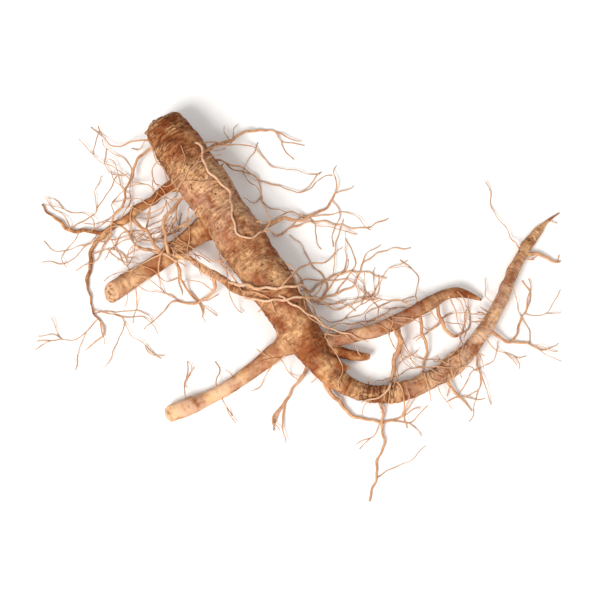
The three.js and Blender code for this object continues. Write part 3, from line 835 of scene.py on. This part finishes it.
def buildRoot():
    # Every thick root is swept, roots that meet swell towards each other, and then each is wrinkled
    # and painted. Rootlets and hairs follow, and all the skins are joined.
    chance = np.random.default_rng(randomSeed)
    thick = {
        "bodyAndTail": bodyAndTail, "lowerProng": lowerProng, "upperProng": upperProng,
        "rightProng": rightProng, "brokenStub": brokenStub, "stump": stump, "leftBranch": leftBranch,
        "middleBranch": middleBranch, "leftFork": leftFork,
    }
    roots = {name: growRoot(settings, chance) for name, settings in thick.items()}
    for name, settings in thick.items():
        if "growsOn" in settings:
            root, parent = roots[name], roots[settings["growsOn"]]
            swellTowards(root, parent["path"], settings["blend"])
            swellTowards(parent, outsideOf(root["path"], parent["path"]), settings["blend"])
    for root in roots.values():
        finishRoot(root, chance)
    rootlets = []
    for k, route in enumerate(rootlet["routes"]):
        grown = growRoot({**rootlet, "route": route, "seed": rootlet["seed"] + k}, chance)
        rootlets.append(finishRoot(grown, chance, 1.0))
    paths = {name: root["path"] for name, root in roots.items()}
    paths["rootlets"] = [root["path"] for root in rootlets]
    hairs = list(growHairs(paths, heightMap(roots.values()), chance))
    print("swept", len(roots), "roots,", len(rootlets), "rootlets and", len(hairs), "hairs")
    everyRoot = [*roots.values(), *rootlets, *hairs]
    skins = [rootObject(f"skin{k}", root) for k, root in enumerate(everyRoot)]
    whole = joinSkins("ginsengRoot", skins[0], skins[1:])
    whole.data.calc_loop_triangles()
    print("joined them into one skin of", len(whole.data.loop_triangles), "triangles")
    return whole


def colour(code):
    # sRGB hex to linear: c / 12.92 up to 0.04045, and ((c + 0.055) / 1.055)^2.4 above it.
    parts = [int(code[k:k + 2], 16) / 255 for k in (1, 3, 5)]
    return [c / 12.92 if c <= 0.04045 else ((c + 0.055) / 1.055) ** 2.4 for c in parts] + [1]


def addNode(tree, kind, settings, inputs):
    # Adds a node, sets its settings, and gives each named input a value or a link. A 2 or a 3 after a
    # name means the second or third input of that name. It gives back the first output in use.
    node = tree.nodes.new("ShaderNode" + kind)
    for key, value in settings.items():
        setattr(node, key, value)
    for key, value in inputs.items():
        places = [socket for socket in node.inputs if socket.name == key.rstrip("23") and socket.enabled]
        socket = places[{"2": 1, "3": 2}.get(key[-1], 0)]
        if isinstance(value, bpy.types.NodeSocket):
            tree.links.new(value, socket)
        else:
            socket.default_value = value
    return next((socket for socket in node.outputs if socket.enabled), None)


# Dried root cork is matt and finely wrinkled. It is tan with paler and reddish-brown patches, dark in its
# pores and in its wrinkles, and its hairs are a little pinker. The reddish-brown is partly stains and
# partly painted shade on the side turned from the light, and the dark in the wrinkles is partly the skin's
# own and partly painted shade. Sizes are in millimetres along the skin of the root pulled straight.
rootSkin = {
    "roughness": 0.85, "ior": 1.45, "specular": 0.2, "ground": "#A46535",
    # each layer lies where a noise of its size passes through its fade, and where its mark is
    "noiseRoughness": 0.55, "layers": [
        {"size": 9.0, "detail": 4, "fade": [0.36, 0.56], "share": 0.95, "colour": "#E2B27E"},
        {"size": 6.5, "detail": 4, "fade": [0.42, 0.68], "share": 0.95, "colour": "#853A11"},
        {"size": 2.4, "detail": 4, "fade": [0.48, 0.64], "share": 0.6, "colour": "#7A3A14",
         "mark": "rough"},
        # this brown coat is stains plus painted shade on the side away from the light
        {"size": 2.6, "detail": 3, "fade": [0.3, 0.62], "share": 0.85, "colour": "#843F18",
         "mark": "brown"},
        {"size": 2.0, "detail": 3, "fade": [0.2, 0.6], "share": 0.8, "colour": "#CD9C78", "mark": "hair"},
        {"size": 2.8, "detail": 4, "fade": [0.3, 0.6], "share": 0.8, "colour": "#DDB698", "mark": "pale"},
        {"size": 1.6, "detail": 3, "fade": [0.5, 0.7], "share": 0.25, "colour": "#E6BC8E", "mark": "rough"},
        {"size": 0.8, "detail": 4, "fade": [0.45, 0.7], "share": 0.5, "colour": "#652A0A", "mark": "rough"},
        # dark in grooves and pores: their own dark plus painted shade in the grooves
        {"size": 1.4, "detail": 2, "fade": [0.15, 0.45], "share": 0.85, "colour": "#4E220A",
         "mark": "hollow"},
        {"size": 1.2, "detail": 3, "fade": [0.2, 0.5], "share": 0.85, "colour": "#D2AA84", "mark": "cut"},
        {"size": 0.9, "detail": 3, "fade": [0.48, 0.62], "share": 0.8, "colour": "#6E3F20", "mark": "cut"},
    ],
    # cracks run round the root where a noise that is stretched round it passes its middle, 0.5, and
    # are full within a share of their width, the floor
    "crackDetail": 1, "crackDistortion": 0.3, "crackFloor": 0.2, "crackDepth": 0.4, "cracks": [
        {"round": 7.0, "pitch": 1.4, "width": 0.05, "share": 0.9, "colour": "#56260A"},
        {"round": 3.4, "pitch": 0.8, "width": 0.05, "share": 0.75, "colour": "#6C3413"},
    ],
    # pores are dots, one to each cell, where a broad noise lets them show, with a floor as well
    "poreDetail": 2, "poreFloor": 0.4, "poreDepth": 0.5, "pores": [
        {"cell": 1.9, "dot": 0.45, "size": 6.0, "fade": [0.42, 0.56], "share": 0.85, "colour": "#3E1C08"},
        {"cell": 0.9, "dot": 0.22, "size": 4.0, "fade": [0.4, 0.6], "share": 0.6, "colour": "#5A2C0F"},
    ],
    "grainDetail": 4, "grain": [{"size": 0.7, "share": 0.5}, {"size": 1.8, "share": 0.5}],
    "bump": 0.8, "bumpHeight": 0.35,
}


def driedRootSkin():
    # Every coat covers what is under it by its share, which is a smooth step of a noise times its
    # mark on the skin. Cracks and pores are hollows too: the bump's height is the grain's noises less
    # each one's share * depth.
    look = rootSkin
    material = bpy.data.materials.new("driedRootSkin")
    material.use_nodes = True
    tree = material.node_tree
    tree.nodes.clear()
    marks = {}
    for name in ("straightened", "hollow", "ringed", "pale", "brown", "cut", "hair", "rough"):
        node = addNode(tree, "Attribute", {"attribute_name": name}, {}).node
        marks[name] = node.outputs["Vector" if name == "straightened" else "Fac"]
    flat = marks["straightened"]
    smooth = {"interpolation_type": "SMOOTHSTEP"}
    coats = []  # each is a noise, where it fades in, factors of its share, its settings and its depth
    for layer in look["layers"]:
        noise = addNode(tree, "TexNoise", {}, {
            "Vector": flat, "Scale": 1 / layer["size"], "Detail": layer["detail"],
            "Roughness": look["noiseRoughness"]})
        factors = [marks[layer["mark"]]] if "mark" in layer else []
        coats.append([noise, layer["fade"], factors, layer, 0])
    for crack in look["cracks"]:
        place = addNode(tree, "VectorMath", {"operation": "DIVIDE"}, {
            "Vector": flat, "Vector2": [crack["round"], crack["round"], crack["pitch"]]})
        noise = addNode(tree, "TexNoise", {}, {
            "Vector": place, "Scale": 1.0, "Detail": look["crackDetail"],
            "Distortion": look["crackDistortion"]})
        gap = addNode(tree, "Math", {"operation": "SUBTRACT"}, {"Value": noise, "Value2": 0.5})
        gap = addNode(tree, "Math", {"operation": "ABSOLUTE"}, {"Value": gap})
        fade = [crack["width"], look["crackFloor"] * crack["width"]]
        coats.append([gap, fade, [marks["ringed"]], crack, look["crackDepth"]])
    for pore in look["pores"]:
        gap = addNode(tree, "TexVoronoi", {}, {"Vector": flat, "Scale": 1 / pore["cell"]})
        rim = pore["dot"] / pore["cell"]
        dot = addNode(tree, "MapRange", smooth, {
            "Value": gap, "From Min": rim, "From Max": look["poreFloor"] * rim})
        noise = addNode(tree, "TexNoise", {}, {
            "Vector": flat, "Scale": 1 / pore["size"], "Detail": look["poreDetail"]})
        coats.append([noise, pore["fade"], [dot, marks["rough"]], pore, look["poreDepth"]])
    tan, height = colour(look["ground"]), 0.0
    for grain in look["grain"]:
        noise = addNode(tree, "TexNoise", {}, {
            "Vector": flat, "Scale": 1 / grain["size"], "Detail": look["grainDetail"]})
        height = addNode(tree, "Math", {"operation": "MULTIPLY_ADD"}, {
            "Value": noise, "Value2": grain["share"], "Value3": height})
    for noise, fade, factors, coat, depth in coats:
        share = addNode(tree, "MapRange", smooth, {
            "Value": noise, "From Min": fade[0], "From Max": fade[1], "To Max": coat["share"]})
        for factor in factors:
            share = addNode(tree, "Math", {"operation": "MULTIPLY"}, {"Value": share, "Value2": factor})
        tan = addNode(tree, "Mix", {"data_type": "RGBA"}, {
            "Factor": share, "A": tan, "B": colour(coat["colour"])})
        if depth:
            height = addNode(tree, "Math", {"operation": "MULTIPLY_ADD"}, {
                "Value": share, "Value2": -depth, "Value3": height})
    bump = addNode(tree, "Bump", {}, {
        "Strength": look["bump"], "Distance": look["bumpHeight"] * millimetre, "Height": height})
    shader = addNode(tree, "BsdfPrincipled", {}, {
        "Base Color": tan, "Roughness": look["roughness"], "IOR": look["ior"],
        "Specular IOR Level": look["specular"], "Normal": bump})
    addNode(tree, "OutputMaterial", {}, {"Surface": shader})
    print("made the root's material from", len(tree.nodes), "nodes")
    return material


studio = {
    "tableColour": "#F6F3F0", "tableRoughness": 0.7, "tableHalf": 1.5,
    "worldColour": "#FFFFFF", "worldStrength": 0.5,
    "camera": {"lens": 85, "azimuth": 0, "elevation": 72, "distance": 0.385, "aim": [0, 0, 0.004]},
    "lights": {
        "keyLight": {"size": 0.4, "power": 9.5, "azimuth": -34, "elevation": 43, "distance": 0.9,
                     "aim": [0, 0, 0]},
        "fillLight": {"size": 0.8, "power": 2.2, "azimuth": 70, "elevation": 50, "distance": 1.0,
                      "aim": [0, 0, 0]},
    },
}


def placeAround(name, data, setup):
    # Puts a lamp or a camera at its azimuth and elevation as seen from its aim, and turns it to face
    # that: aim + distance * (sin turn cos rise, -cos turn cos rise, sin rise).
    ob = bpy.data.objects.new(name, data)
    turn, rise = math.radians(setup["azimuth"]), math.radians(setup["elevation"])
    way = np.array([math.sin(turn) * math.cos(rise), -math.cos(turn) * math.cos(rise), math.sin(rise)])
    ob.location = np.array(setup["aim"]) + setup["distance"] * way
    ob.rotation_euler = (math.pi / 2 - rise, 0, turn)
    bpy.context.collection.objects.link(ob)
    return ob


def buildStudio():
    # A flat square table with its middle under the root, a soft white world, two lamps and a camera.
    # The table top is matt white paint: it gives a pale even ground that no highlight stands on.
    half = studio["tableHalf"]
    corners = [(-half, -half, 0), (half, -half, 0), (half, half, 0), (-half, half, 0)]
    mesh = bpy.data.meshes.new("table")
    mesh.from_pydata(corners, [], [(0, 1, 2, 3)])
    table = bpy.data.objects.new("table", mesh)
    bpy.context.collection.objects.link(table)
    material = bpy.data.materials.new("paleTableTop")
    material.use_nodes = True
    shader = material.node_tree.nodes["Principled BSDF"]
    shader.inputs["Base Color"].default_value = colour(studio["tableColour"])
    shader.inputs["Roughness"].default_value = studio["tableRoughness"]
    mesh.materials.append(material)
    scene = bpy.context.scene
    scene.world = bpy.data.worlds.new("softWorld")
    scene.world.use_nodes = True
    background = scene.world.node_tree.nodes["Background"]
    background.inputs["Color"].default_value = colour(studio["worldColour"])
    background.inputs["Strength"].default_value = studio["worldStrength"]
    for name, setup in studio["lights"].items():
        light = bpy.data.lights.new(name, "AREA")
        light.shape = "DISK"
        light.size = setup["size"]
        light.energy = setup["power"]
        placeAround(name, light, setup)
    camera = bpy.data.cameras.new("camera")
    camera.lens = studio["camera"]["lens"]
    scene.camera = placeAround("camera", camera, studio["camera"])
    scene.view_settings.view_transform = "Standard"
    print("placed the table, two lamps and the camera")


buildStudio()
root = buildRoot()
root.data.materials.clear()
root.data.materials.append(driedRootSkin())
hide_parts(nodeName)
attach(root, "root")
